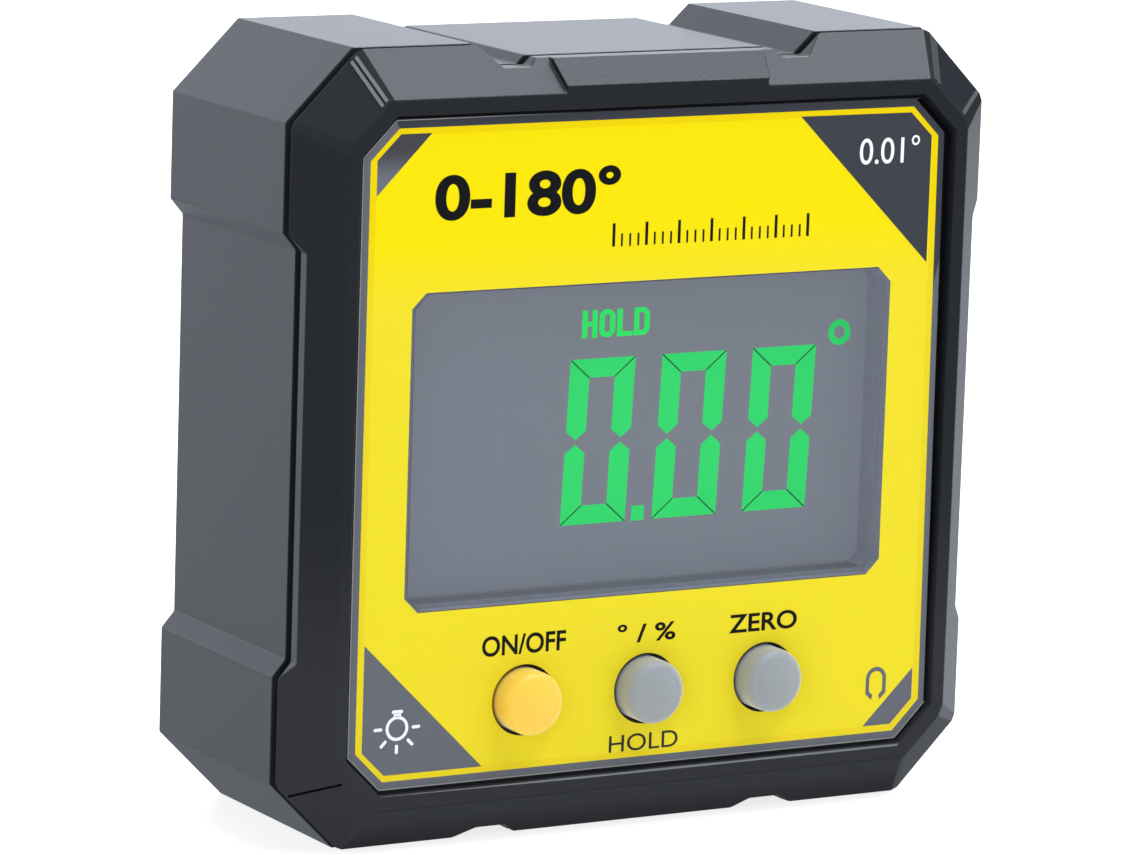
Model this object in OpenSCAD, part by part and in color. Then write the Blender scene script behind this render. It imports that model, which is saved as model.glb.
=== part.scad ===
// Digital angle gauge: a square case with cut corners, a lit display and three keys on its face,
// a magnetic base, and a battery bay behind a tilting door.
// Millimetres. X points right, Y from the face to the back, Z up. The origin is the middle of the base.

/* [Case] */
// Width across the side pads
body_w = 60; // [58:0.5:70]
// Height from the base to the top pads
body_h = 60; // [58:0.5:70]
// Cut of the four corners
corner_cut = 5.35; // [4.5:0.05:6]
// Wall of the rear housing
wall = 2; // [1.6:0.1:2.2]
// Thickness of the back wall and of the battery door
back_t = 1.2; // [1:0.1:1.8]
// Depth of the front bezel at its rim
bezel_d = 3.1; // [2.8:0.1:3.6]
// Width of the groove between bezel and housing
groove_w = 0.8; // [0.5:0.1:1.2]
// How far the seal lies inside the groove
groove_in = 0.5; // [0.3:0.1:0.9]

/* [Sides, crown and base] */
// Length of the pads above and below a side recess
side_pad = 13.5; // [11:0.1:18]
// Depth of the side recess
side_recess = 1.05; // [0.6:0.05:1.4]
// Height of the slope between a side pad and its recess
side_slope = 1.22; // [0.8:0.02:2]
// Inner end of the top and base pads, from the middle
pad_in = 14.9; // [14:0.1:17]
// Outer end of a notch's floor, from the middle
notch_out = 13.2; // [12.4:0.1:13.6]
// Inner end of a notch's floor, from the middle
notch_in = 10.9; // [10.6:0.1:11.8]
// Depth of the top notches below the top pads
crown_notch = 1.6; // [1.2:0.05:1.8]
// Depth of the crown's middle below the top pads
crown_drop = 1; // [0.6:0.05:1.1]
// Half width of the crown's middle
crown_half = 10.3; // [9.6:0.1:10.5]
// Depth of the base notches
base_notch = 0.85; // [0.5:0.05:1.1]
// Half width of the base's middle
base_half = 9.6; // [9:0.1:10.3]

/* [Bezel] */
// Inset of the bevel's front edge at the top and bottom
bevel_ends = 3.5; // [3:0.05:3.9]
// Inset of the bevel's front edge at the sides
bevel_sides = 3.25; // [2.8:0.05:3.8]
// Inset of the bevel's front edge at the corners
bevel_corner = 3.4; // [3:0.05:3.7]
// How much each crease beside a corner facet is flattened
crease_cut = 0.12; // [0.05:0.01:0.4]
// Height by which the crown's block stands over the bevel
block_proud = 0.6; // [0.3:0.05:0.8]
// Half width of the block at its lower edge
block_half = 8.5; // [6:0.1:9]
// Widening of the block towards its upper edge
block_flare = 0.9; // [0:0.1:1.2]
// Thickness of the wall behind the label
web_t = 1.5; // [1.2:0.1:1.8]
// Thickness of the tongue that enters the housing
tongue_t = 1.3; // [1:0.1:1.6]
// Length of the tongue inside the housing
tongue_len = 1.4; // [1:0.1:1.8]

/* [Label] */
// Depth of the label's face below the bezel's face
label_sink = 0.5; // [0.3:0.05:0.8]
// Thickness of the label
label_t = 0.35; // [0.2:0.05:0.5]
// Distance of the label from the case's sides
label_sides = 4.6; // [4.3:0.05:5.4]
// Distance of the label from the case's top and base
label_ends = 4.95; // [4.7:0.05:5.6]
// Cut of the label's corners
label_cut = 2.7; // [2:0.1:3.4]
// Gap round the label
label_gap = 0.3; // [0.15:0.05:0.4]

/* [Display] */
// Width of the window
win_w = 41.5; // [34:0.1:43]
// Height of the window
win_h = 23.9; // [18:0.1:25]
// Height of the window's middle above the base
win_z = 30.15; // [29:0.05:31]
// Cut of the window's corners
win_cut = 1.15; // [0.8:0.05:2]
// Thickness of the lens
lens_t = 1; // [0.8:0.1:1.4]
// Width of the collar that shows inside the window
collar_w = 0.35; // [0.2:0.05:0.8]
// Corner radius of the collar's opening
collar_round = 1.2; // [0.6:0.1:2]
// Depth of the display's glass below the bezel's face
lcd_sink = 3.4; // [2.9:0.1:3.8]
// Thickness of the display's glass
lcd_t = 1.6; // [1.2:0.1:2]
// Edge of the glass hidden by the frame
lcd_edge = 1.3; // [1:0.1:1.5]
// Height of the contact ledge at the top of the glass
lcd_ledge = 2.2; // [1.6:0.1:2.4]
// Thickness of the backlight
light_t = 1.9; // [1.5:0.1:2.4]
// Wall of the display's frame
frame_wall = 1; // [0.8:0.1:1.2]

/* [Keys] */
// Distance between the keys
key_pitch = 10.55; // [9.5:0.05:10.8]
// Height of the keys above the base
key_z = 10.85; // [10.4:0.05:11.2]
// Radius of a key's cap
key_r = 2.45; // [2:0.05:2.6]
// Height of a key above the bezel's face
key_proud = 1.8; // [0.8:0.1:2.4]
// Edge radius of a key's cap
key_edge = 0.6; // [0.3:0.05:0.8]
// Travel of a key
key_travel = 0.5; // [0.3:0.05:0.7]
// Radius of a key's retaining flange
flange_r = 3.2; // [3:0.05:3.4]
// Thickness of a key's retaining flange
flange_t = 0.8; // [0.6:0.05:1]
// Width of a key's switch
switch_w = 6; // [5:0.1:6.2]
// Radius of a switch's plunger
plunger_r = 1.7; // [1.2:0.05:2]

/* [Board] */
// Thickness of the board
board_t = 1.2; // [0.8:0.1:1.6]
// Distance of the board from the case's sides
board_sides = 5.4; // [5.2:0.1:6]
// Distance of the board from the case's top and base
board_ends = 6.6; // [6.2:0.1:7]
// Cut of the board's corners
board_cut = 7.5; // [7:0.1:8]
// Thickness of the controller chip
chip_t = 1.2; // [0.8:0.1:1.3]
// Width of the controller chip
chip_w = 9; // [7:0.5:12]
// Width of the tilt sensor
sensor_w = 4; // [3:0.5:6]
// Room behind the board for its chips
chip_room = 1.5; // [1.4:0.1:2]

/* [Battery bay] */
// Diameter of a cell
cell_d = 10.5; // [10:0.1:11]
// Length of a cell with its nub
cell_l = 44.5; // [42:0.1:45.5]
// Height of the bay's floor above the base
bay_base = 18.5; // [17.5:0.1:20]
// Front wall of the bay
bay_wall = 0.9; // [0.8:0.1:1.5]
// Upper and lower wall of the bay
bay_rail = 1.6; // [1.5:0.1:2]
// End wall of the bay beyond the case's wall
bay_end = 1.2; // [0.8:0.1:1.6]
// Room for a spring between a cell and its contact plate
spring_room = 5.7; // [4.5:0.1:6.5]
// Gap between the two cells
cell_gap = 0.8; // [0.4:0.1:1.5]
// Thickness of the contact plates
plate_t = 0.4; // [0.3:0.05:0.6]
// Thickness of a spring's wire
wire_d = 0.7; // [0.5:0.05:0.9]
// Gap round the battery door
door_gap = 0.25; // [0.15:0.05:0.4]
// Height of the lip that the door's tabs hook behind
door_lip = 1.5; // [1.4:0.1:2]
// Height of the ledge under the door's lower edge
door_ledge = 0.8; // [0.5:0.1:1.1]
// Width of a door tab
tab_w = 6; // [4:0.5:9]
// Distance of the door tabs from the middle
tab_x = 14; // [9:0.5:19]
// Thickness of a door tab
tab_t = 1; // [0.8:0.1:1.2]
// Width of the thumb recess in the door
thumb_w = 14; // [10:0.5:20]
// Height of the thumb recess in the door
thumb_h = 4.2; // [3:0.1:6]

/* [Base magnets] */
// Radius of a magnet
magnet_r = 4.5; // [3:0.1:4.6]
// Height of a magnet
magnet_h = 3.5; // [2:0.1:4]
// Distance of the magnets from the middle
magnet_x = 5; // [4.9:0.1:5.4]
// Floor under the magnets
magnet_floor = 0.8; // [0.6:0.1:1.2]
// Wall round a magnet
magnet_wall = 0.9; // [0.7:0.1:1.2]

/* [Screws] */
// Distance of the case screws from the case's sides, top and base
boss_in = 6.5; // [6.2:0.1:6.8]
// Radius of a screw's shank
screw_r = 1; // [0.8:0.05:1.1]
// Radius of a screw's head
head_r = 2; // [1.7:0.05:2.1]
// Height of a screw's head
head_t = 1.3; // [1:0.1:1.4]
// Wall of plastic round a screw
boss_wall = 1.4; // [1.2:0.1:1.5]
// Depth of the case screws' seats below the back
seat_in = 3.2; // [2.8:0.1:4]
// Gap between the board's posts and the keys' flanges
post_gap = 2.35; // [2:0.05:2.6]
// Height of the lower posts above the case screws
post_rise = 4; // [3.9:0.05:4.2]
// Gap between the upper posts and the display's frame
post_clear = 1.35; // [1:0.05:1.6]

/* [Hidden] */
$fn = 64;

// Clearances and overlaps
fit = 0.1;
running = 0.08;
plunger_play = 0.05;
lens_fit = 0.05;
hole_show = 0.28;
cell_play = 0.1;
seat_play = 0.02;
over = 1;

// Colours
charcoal = [0.24, 0.25, 0.27];
black = [0.06, 0.06, 0.07];
yellow = [0.98, 0.88, 0.08];
amber = [0.98, 0.76, 0.25];
key_grey = [0.62, 0.66, 0.68];
display_grey = [0.47, 0.49, 0.53];
board_green = [0.1, 0.35, 0.2];
steel = [0.72, 0.73, 0.75];

// Depths behind the bezel's face
label_back = label_sink + label_t;
web_back = label_back + web_t;
rim_d = bezel_d + groove_w;
tongue_end = rim_d + tongue_len;
lens_back = label_sink + lens_t;
light_d = lcd_sink + lcd_t;
board_d = light_d + light_t + fit;
board_back = board_d + board_t;
bay_front = board_back + chip_room;
bay_d = bay_front + bay_wall;
cell_r = cell_d / 2;
cell_y = bay_d + cell_play + cell_r;
door_d = cell_y + cell_r + cell_play;
body_d = door_d + back_t;

// Window and display
win_half = win_w / 2;
win_z0 = win_z - win_h / 2;
win_z1 = win_z + win_h / 2;
lcd_half = win_half + lcd_edge;
lcd_z0 = win_z0 - lcd_edge;
lcd_z1 = win_z1 + lcd_ledge + collar_w;
frame_out = fit + frame_wall;

// Keys and their switches
flange_d = web_back + fit;
flange_back = flange_d + flange_t;
plunger_len = flange_t + key_travel + 2 * plunger_play + plunger_r / 4;
switch_d = flange_back + key_travel + 3 * fit;

// Battery bay
bump_h = 0.5;
bay_half = (cell_l + spring_room + bump_h + 2 * plate_t) / 2;
cell_low_z = bay_base + cell_play + cell_r;
cell_high_z = cell_low_z + cell_d + cell_gap;
open_z0 = bay_base - door_ledge;
open_z1 = cell_high_z + cell_r + cell_gap;
bay_top = open_z1 + door_lip;
open_half = bay_half - door_ledge;
bay_out = bay_half + bay_end + wall / 2;
nub_r = 1.9;
nub_h = 0.8;
plate_half = 3.5;
tail_half = 1;
tail_foot = bay_half - body_w / 2 + board_sides + plate_half;
spring_len = spring_room - 3 * seat_play;

// Screws and posts
boss_r = screw_r + boss_wall;
boss_end = board_d + fit;
post_x = key_pitch + flange_r + boss_r + post_gap;
post_low = boss_in + post_rise;
post_high = lcd_z1 + frame_out + boss_r + post_clear;
seat_d = body_d - seat_in;

// Distance of a depth behind the bezel's face from the middle of the case
function deep(d) = d - body_d / 2;

// Outward line of one edge, from the middle to the right: pad end, notch floor, middle
function edge_steps(notch, half, drop) =
    [[half, drop], [notch_in, notch], [notch_out, notch], [pad_in, 0], [body_w / 2 - corner_cut, 0]];

function reversed(list) = [for (i = [len(list) - 1:-1:0]) list[i]];
function mirrored(list) = [for (p = reversed(list)) [-p.x, p.y]];

// The case's outline seen from the front, anticlockwise
base_edge = edge_steps(base_notch, base_half, 0);
crown_edge = [for (p = edge_steps(crown_notch, crown_half, crown_drop)) [p.x, body_h - p.y]];
side_edge = [
    [body_w / 2, corner_cut],
    [body_w / 2, side_pad],
    [body_w / 2 - side_recess, side_pad + side_slope],
    [body_w / 2 - side_recess, body_h - side_pad - side_slope],
    [body_w / 2, body_h - side_pad],
    [body_w / 2, body_h - corner_cut]
];
right_half = concat(base_edge, side_edge, reversed(crown_edge));
outline = concat(right_half, mirrored(right_half));

// Corner b moved inwards so that both its edges move by e
function inset_corner(a, b, c, e) =
    let (u = (b - a) / norm(b - a), v = (c - b) / norm(c - b))
    let (m = [-u.y, u.x], n = [-v.y, v.x])
    b + e * (m + n) / (1 + m * n);

// An anticlockwise outline moved inwards by e
function inset(points, e) =
    let (n = len(points))
    [for (i = [0:n - 1]) inset_corner(points[(i + n - 1) % n], points[i], points[(i + 1) % n], e)];

// A rectangle about the middle with cut corners
function cut_rect(half, z0, z1, cut) =
    let (right = [[half - cut, z0], [half, z0 + cut], [half, z1 - cut], [half - cut, z1]])
    concat(right, mirrored(right));

window = cut_rect(win_half, win_z0, win_z1, win_cut);
label_outline = cut_rect(body_w / 2 - label_sides, label_ends, body_h - label_ends, label_cut);

// An outline between two depths
module plate(points, from, to) {
    translate([0, deep(to), 0]) rotate([90, 0, 0]) linear_extrude(to - from) polygon(points);
}

// A round bar along Y between two depths
module rod(x, z, r, from, to) {
    translate([x, deep(to), z]) rotate([90, 0, 0]) cylinder(r = r, h = to - from);
}

// A box between two depths
module block(x, z, from, to) {
    translate([x[0], deep(from), z[0]]) cube([x[1] - x[0], to - from, z[1] - z[0]]);
}

// A box between two depths whose four corners are round
module round_block(half, z0, z1, r, from, to) {
    block([-half, half], [z0 + r, z1 - r], from, to);
    block([r - half, half - r], [z0, z1], from, to);
    for (x = [r - half, half - r], z = [z0 + r, z1 - r]) rod(x, z, r, from, to);
}

// The four places of the case screws
module at_bosses() {
    for (x = [-1, 1], z = [boss_in, body_h - boss_in]) {
        translate([x * (body_w / 2 - boss_in), 0, z]) children();
    }
}

// The four places of the board's posts
module at_posts() {
    for (x = [-post_x, post_x], z = [post_low, post_high]) translate([x, 0, z]) children();
}

// The place of a magnet, standing on a height
module magnet_place(x, z) {
    translate([x, deep((rim_d + door_d) / 2), z]) children();
}

// What a bevel takes off: the outside of a plane that meets the face at an inset from the reach
// and the bezel's rim at the reach, turned about the middle of the face
module bevel(turn, reach, inset) {
    far = bezel_d;
    rise = bezel_d / inset;
    translate([0, deep(0), body_h / 2]) rotate([0, -turn, 0])
        linear_extrude(body_w + body_h, center = true)
            polygon([
                [reach - inset - over / rise, -over],
                [reach + far, -over],
                [reach + far, rise * (inset + far)]
            ]);
}

// Bevels of the four sides, the corner facets and the flattened creases beside them
module face_bevels() {
    half_turn = 22.5;
    corner_reach = (body_w / 2 + body_h / 2 - corner_cut) / sqrt(2);
    side_crease = body_w / 2 * cos(half_turn) + (body_h / 2 - corner_cut) * sin(half_turn);
    end_crease = (body_w / 2 - corner_cut) * sin(half_turn) + body_h / 2 * cos(half_turn);
    for (turn = [0, 180]) bevel(turn, body_w / 2, bevel_sides);
    for (turn = [90, 270]) bevel(turn, body_h / 2, bevel_ends);
    for (turn = [45:90:315]) bevel(turn, corner_reach, bevel_corner);
    for (side = [0, 180], sign = [-1, 1]) {
        bevel(side + sign * half_turn, side_crease - crease_cut, bevel_corner / cos(half_turn));
        bevel(90 + side + sign * half_turn, end_crease - crease_cut, bevel_corner / cos(half_turn));
    }
}

// The proud block in the middle of the bezel's top
module crown_block() {
    low = body_h - bevel_ends - block_proud;
    top_half = block_half + block_flare;
    region = [[-block_half, low], [block_half, low], [top_half, body_h], [-top_half, body_h]];
    difference() {
        intersection() {
            plate(outline, 0, bezel_d);
            plate(region, 0, bezel_d);
        }
        bevel(90, body_h / 2 + block_proud, bevel_ends);
    }
}

module rear_housing() {
    color(charcoal) difference() {
        union() {
            difference() {
                plate(outline, rim_d, body_d);
                plate(inset(outline, wall), rim_d - over, door_d);
            }
            intersection() {
                plate(inset(outline, wall / 2), bay_front, body_d);
                block([-bay_out, bay_out], [bay_base - bay_rail, bay_top + bay_rail], bay_front, body_d);
            }
            at_bosses() rod(0, 0, boss_r + fit, boss_end + fit, body_d);
            for (x = [-magnet_x, magnet_x]) magnet_place(x, wall / 2) {
                cylinder(r = magnet_r + fit + magnet_wall, h = magnet_floor + magnet_h - wall / 2);
            }
        }
        block([-bay_half, bay_half], [bay_base, bay_top], bay_d, door_d);
        block([-open_half, open_half], [open_z0, open_z1], door_d - fit, body_d + over);
        for (z = [cell_low_z, cell_high_z]) {
            slot = [z - tail_half - fit, z + tail_half + fit];
            block([bay_half - plate_t - fit, bay_half + fit], slot, board_back - fit, cell_y);
            block([bay_half - tail_foot - fit, bay_half + fit], slot, board_back - fit, board_back + plate_t + fit);
        }
        at_bosses() {
            rod(0, 0, screw_r + fit, boss_end, body_d + over);
            rod(0, 0, head_r + fit, seat_d, body_d + over);
        }
        for (x = [-magnet_x, magnet_x]) {
            magnet_place(x, magnet_floor) cylinder(r = magnet_r + fit, h = magnet_h + over);
        }
    }
}

module front_bezel() {
    hollow = inset(outline, wall + fit + tongue_t);
    boss_root = label_back + web_t / 2;
    pocket = lcd_half + frame_out + fit;
    color(charcoal) difference() {
        union() {
            difference() {
                union() {
                    difference() {
                        plate(outline, 0, bezel_d);
                        face_bevels();
                    }
                    crown_block();
                    plate(inset(outline, wall + fit), web_back, tongue_end);
                }
                plate(hollow, web_back, tongue_end + over);
            }
            at_bosses() rod(0, 0, boss_r, boss_root, boss_end);
            at_posts() rod(0, 0, boss_r, boss_root, board_d);
        }
        block([-pocket, pocket], [lcd_z0 - frame_out - fit, lcd_z1 + frame_out + fit], web_back, board_d + over);
        plate(inset(label_outline, -label_gap), -over, label_back);
        plate(window, -over, web_back + over);
        for (x = [-key_pitch, 0, key_pitch]) rod(x, key_z, key_r + running, -over, web_back + over);
        at_bosses() rod(0, 0, screw_r + seat_play, web_back, boss_end + over);
        at_posts() rod(0, 0, screw_r + seat_play, web_back, board_d + over);
    }
}

module housing_gasket() {
    color(black) difference() {
        plate(inset(outline, groove_in), bezel_d, rim_d);
        plate(inset(outline, wall), bezel_d - over, rim_d + over);
    }
}

module face_label() {
    color(yellow) difference() {
        plate(label_outline, label_sink, label_back);
        plate(window, label_sink - over, label_back + over);
        for (x = [-key_pitch, 0, key_pitch]) {
            rod(x, key_z, key_r + hole_show, label_sink - over, label_back + over);
        }
    }
}

module display_lens() {
    color(display_grey, 0.4) plate(inset(window, lens_fit), label_sink, lens_back);
}

module lcd_frame() {
    half = lcd_half + frame_out;
    color(display_grey) difference() {
        union() {
            block([-half, half], [lcd_z0 - frame_out, lcd_z1 + frame_out], web_back, board_d);
            plate(inset(window, lens_fit), lens_back, web_back + fit);
        }
        block([-lcd_half - fit, lcd_half + fit], [lcd_z0 - fit, lcd_z1 + fit], lcd_sink, board_d + over);
        round_block(win_half - collar_w, win_z0 + collar_w, win_z1 - collar_w, collar_round,
            lens_back - over, lcd_sink + over);
    }
}

module lcd_glass() {
    color(display_grey) {
        block([-lcd_half, lcd_half], [lcd_z0, lcd_z1], lcd_sink, lcd_sink + lcd_t / 2);
        block([-lcd_half, lcd_half], [lcd_z0, lcd_z1 - lcd_ledge], lcd_sink + lcd_t / 4, light_d);
    }
}

module lcd_backlight() {
    color("white") block([-lcd_half, lcd_half], [lcd_z0, lcd_z1 - lcd_ledge], light_d, board_d);
}

module lcd_connector() {
    color(black) block([lcd_ledge - lcd_half, lcd_half - lcd_ledge], [lcd_z1 - lcd_ledge + fit, lcd_z1 - fit],
        lcd_sink + lcd_t / 2, board_d);
}

module main_board() {
    half = body_w / 2 - board_sides;
    color(board_green) difference() {
        plate(cut_rect(half, board_ends, body_h - board_ends, board_cut), board_d, board_back);
        at_posts() rod(0, 0, screw_r + fit, board_d - over, board_back + over);
    }
}

// A square chip on the back of the board
module chip(x, z, width, height) {
    block([x - width / 2, x + width / 2], [z - width / 2, z + width / 2], board_back, board_back + height);
}

module microcontroller() {
    color(black) chip(-key_pitch / 2, win_z, chip_w, chip_t);
}

module tilt_sensor() {
    color(steel) chip(key_pitch, win_z, sensor_w, chip_t * 0.75);
}

// A key: round-edged cap, guided through the bezel, with a flange behind it
module key(x) {
    cap_len = key_proud + flange_d;
    translate([x, deep(-key_proud), key_z]) rotate([-90, 0, 0]) rotate_extrude() {
        square([key_r - key_edge, cap_len + flange_t]);
        translate([0, key_edge]) square([key_r, cap_len]);
        translate([key_r - key_edge, key_edge]) circle(key_edge);
        translate([0, cap_len]) square([flange_r, flange_t]);
    }
}

module power_button() {
    color(amber) key(-key_pitch);
}

module mode_button() {
    color(key_grey) key(0);
}

module zero_button() {
    color(key_grey) key(key_pitch);
}

// A switch on the board with the bore that guides its plunger
module switch_body(x) {
    half = switch_w / 2;
    color(black) difference() {
        block([x - half, x + half], [key_z - half, key_z + half], switch_d, board_d);
        rod(x, key_z, plunger_r + plunger_play, switch_d - over, flange_back + plunger_len + key_travel + fit);
    }
}

module power_switch() {
    switch_body(-key_pitch);
}

module mode_switch() {
    switch_body(0);
}

module zero_switch() {
    switch_body(key_pitch);
}

// A plunger between a key's flange and its switch
module plunger(x) {
    color("white") rod(x, key_z, plunger_r, flange_back, flange_back + plunger_len);
}

module power_plunger() {
    plunger(-key_pitch);
}

module mode_plunger() {
    plunger(0);
}

module zero_plunger() {
    plunger(key_pitch);
}

module magnet(x) {
    color(steel) magnet_place(x, magnet_floor) cylinder(r = magnet_r, h = magnet_h);
}

module magnet_left() {
    magnet(-magnet_x);
}

module magnet_right() {
    magnet(magnet_x);
}

// A cell lying along X with its nub to the right, its nub's face at the bay's end contact
module cell(z) {
    tip = bay_half - plate_t - bump_h - seat_play;
    crimp = 0.5;
    translate([tip - cell_l, deep(cell_y), z]) rotate([0, 90, 0]) rotate_extrude() {
        square([nub_r, cell_l]);
        square([cell_r - crimp, cell_l - nub_h]);
        translate([0, crimp]) square([cell_r, cell_l - nub_h - 2 * crimp]);
        for (y = [crimp, cell_l - nub_h - crimp]) translate([cell_r - crimp, y]) circle(crimp);
    }
}

module battery_upper() {
    color("silver") cell(cell_high_z);
}

module battery_lower() {
    color("silver") mirror([1, 0, 0]) cell(cell_low_z);
}

// A conical coil along X from the contact plate to the flat end of a cell
module coil(z) {
    turns = 4;
    rings = 20 * turns;
    sides = 6;
    wire_r = wire_d / 2;
    wide_r = plate_half - wire_r;
    narrow_r = wide_r - wire_d;
    climb = spring_len - wire_d;
    points = [
        for (i = [0:rings], k = [0:sides - 1])
            let (share = i / rings, turn = 360 * turns * share, side = 360 * k / sides)
            let (r = wide_r + (narrow_r - wide_r) * share + wire_r * cos(side))
            [wire_r + climb * share + wire_r * sin(side), r * cos(turn), r * sin(turn)]
    ];
    skin = [
        for (i = [0:rings - 1], k = [0:sides - 1])
            let (a = i * sides + k, b = i * sides + (k + 1) % sides)
            [a, a + sides, b + sides, b]
    ];
    ends = [[for (k = [0:sides - 1]) k], [for (k = [sides - 1:-1:0]) rings * sides + k]];
    translate([plate_t + seat_play - bay_half, deep(cell_y), z]) polyhedron(points, concat(skin, ends));
}

module spring_upper() {
    color(steel) coil(cell_high_z);
}

module spring_lower() {
    color(steel) mirror([1, 0, 0]) coil(cell_low_z);
}

// A contact plate at the right end of the bay
module contact_plate(z0, z1) {
    block([bay_half - plate_t, bay_half], [z0 - plate_half, z1 + plate_half],
        cell_y - plate_half, cell_y + plate_half);
}

// The raised button of a plate, under a cell's nub
module contact_bump(z) {
    translate([bay_half - plate_t - bump_h, deep(cell_y), z]) rotate([0, 90, 0]) {
        cylinder(r = nub_r, h = bump_h + plate_t / 2);
    }
}

// The strip that runs from a plate to the back of the board
module contact_tail(z) {
    block([bay_half - plate_t, bay_half], [z - tail_half, z + tail_half], board_back, cell_y);
    block([bay_half - tail_foot, bay_half], [z - tail_half, z + tail_half], board_back, board_back + plate_t);
}

module bridge_contact() {
    color(steel) mirror([1, 0, 0]) {
        contact_plate(cell_low_z, cell_high_z);
        contact_bump(cell_low_z);
    }
}

module spring_terminal() {
    color(steel) {
        contact_plate(cell_low_z, cell_low_z);
        contact_tail(cell_low_z);
    }
}

module button_terminal() {
    color(steel) {
        contact_plate(cell_high_z, cell_high_z);
        contact_bump(cell_high_z);
        contact_tail(cell_high_z);
    }
}

module battery_door() {
    half = open_half - door_gap;
    z0 = open_z0 + door_gap;
    z1 = open_z1 - door_gap;
    tab_back = door_d - fit;
    ribs = 4;
    rib_pitch = thumb_h / (ribs + 0.5);
    thumb_z = z0 + thumb_h / 2;
    color(charcoal) {
        difference() {
            block([-half, half], [z0, z1], door_d, body_d);
            for (i = [0:ribs]) {
                block([-thumb_w / 2, thumb_w / 2], [thumb_z + i * rib_pitch, thumb_z + (i + 0.5) * rib_pitch],
                    body_d - back_t / 2, body_d + over);
            }
        }
        for (x = [-tab_x, tab_x]) {
            block([x - tab_w / 2, x + tab_w / 2], [z1 - 2 * tab_t, z1], tab_back - tab_t, door_d + back_t / 4);
            block([x - tab_w / 2, x + tab_w / 2], [z1 - tab_t, open_z1 + door_lip - 4 * fit],
                tab_back - tab_t, tab_back);
        }
    }
}

// A cross-head screw along Y, its head's underside at one depth and its tip at another
module screw(seat, tip) {
    slot = head_r * 0.3;
    arm = head_r * 0.65;
    color(steel) difference() {
        union() {
            rod(0, 0, head_r, seat, seat + head_t);
            rod(0, 0, screw_r, tip, seat + head_t / 2);
        }
        block([-arm, arm], [-slot / 2, slot / 2], seat + head_t / 2, seat + head_t + over);
        block([-slot / 2, slot / 2], [-arm, arm], seat + head_t / 2, seat + head_t + over);
    }
}

module case_screws() {
    at_bosses() screw(seat_d, web_back + fit);
}

module board_screws() {
    at_posts() screw(board_back, web_back + fit);
}

rear_housing();
front_bezel();
housing_gasket();
face_label();
display_lens();
lcd_frame();
lcd_glass();
lcd_backlight();
lcd_connector();
main_board();
microcontroller();
tilt_sensor();
power_button();
mode_button();
zero_button();
power_switch();
mode_switch();
zero_switch();
power_plunger();
mode_plunger();
zero_plunger();
magnet_left();
magnet_right();
battery_upper();
battery_lower();
spring_upper();
spring_lower();
bridge_contact();
spring_terminal();
button_terminal();
battery_door();
case_screws();
board_screws();
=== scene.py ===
"""Square digital angle gauge: charcoal case, sunk yellow faceplate, lit segment display and three keys."""

import math

import bpy
from mathutils import Matrix, Vector


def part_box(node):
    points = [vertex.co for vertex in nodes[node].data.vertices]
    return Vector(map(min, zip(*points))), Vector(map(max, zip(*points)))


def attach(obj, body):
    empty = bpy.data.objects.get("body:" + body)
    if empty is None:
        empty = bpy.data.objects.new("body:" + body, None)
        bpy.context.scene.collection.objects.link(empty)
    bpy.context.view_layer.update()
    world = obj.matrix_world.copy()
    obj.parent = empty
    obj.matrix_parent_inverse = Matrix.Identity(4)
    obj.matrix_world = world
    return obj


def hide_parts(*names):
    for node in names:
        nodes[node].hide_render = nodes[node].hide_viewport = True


MM = 0.001

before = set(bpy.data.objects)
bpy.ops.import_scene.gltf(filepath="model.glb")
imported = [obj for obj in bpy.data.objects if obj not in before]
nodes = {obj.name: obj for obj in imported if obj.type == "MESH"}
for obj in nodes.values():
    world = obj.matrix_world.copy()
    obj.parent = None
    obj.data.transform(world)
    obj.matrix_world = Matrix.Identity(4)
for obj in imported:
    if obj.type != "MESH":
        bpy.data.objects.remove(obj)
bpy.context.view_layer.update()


def linear(red, green, blue):
    """Linear colour of 8-bit display values."""
    def one(value):
        value /= 255
        return value / 12.92 if value <= 0.04045 else ((value + 0.055) / 1.055) ** 2.4
    return (one(red), one(green), one(blue), 1.0)


def shader_of(material):
    """The shader that holds a material's colour and gloss."""
    return material.node_tree.nodes["Principled BSDF"]


def surface(name, colour, roughness, metallic=0.0, specular=0.5):
    """Plain surface with a colour, a roughness and a share of metal."""
    material = bpy.data.materials.new(name)
    material.use_nodes = True
    shader = shader_of(material)
    shader.inputs["Base Color"].default_value = colour
    shader.inputs["Roughness"].default_value = roughness
    shader.inputs["Metallic"].default_value = metallic
    shader.inputs["Specular IOR Level"].default_value = specular
    return material


def add_grain(material, size, height):
    """Fine moulded grain, its size and height in millimetres."""
    tree = material.node_tree
    coords = tree.nodes.new("ShaderNodeTexCoord")
    noise = tree.nodes.new("ShaderNodeTexNoise")
    bump = tree.nodes.new("ShaderNodeBump")
    noise.inputs["Scale"].default_value = 1 / (size * MM)
    noise.inputs["Detail"].default_value = 2.0
    bump.inputs["Strength"].default_value = 1.0
    bump.inputs["Distance"].default_value = height * MM
    tree.links.new(coords.outputs["Object"], noise.inputs["Vector"])
    tree.links.new(noise.outputs["Fac"], bump.inputs["Height"])
    tree.links.new(bump.outputs["Normal"], shader_of(material).inputs["Normal"])
    return material


def glowing(name, colour, strength):
    """Surface that gives off its own colour."""
    material = surface(name, colour, 0.5)
    shader = shader_of(material)
    shader.inputs["Emission Color"].default_value = colour
    shader.inputs["Emission Strength"].default_value = strength
    return material


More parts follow.
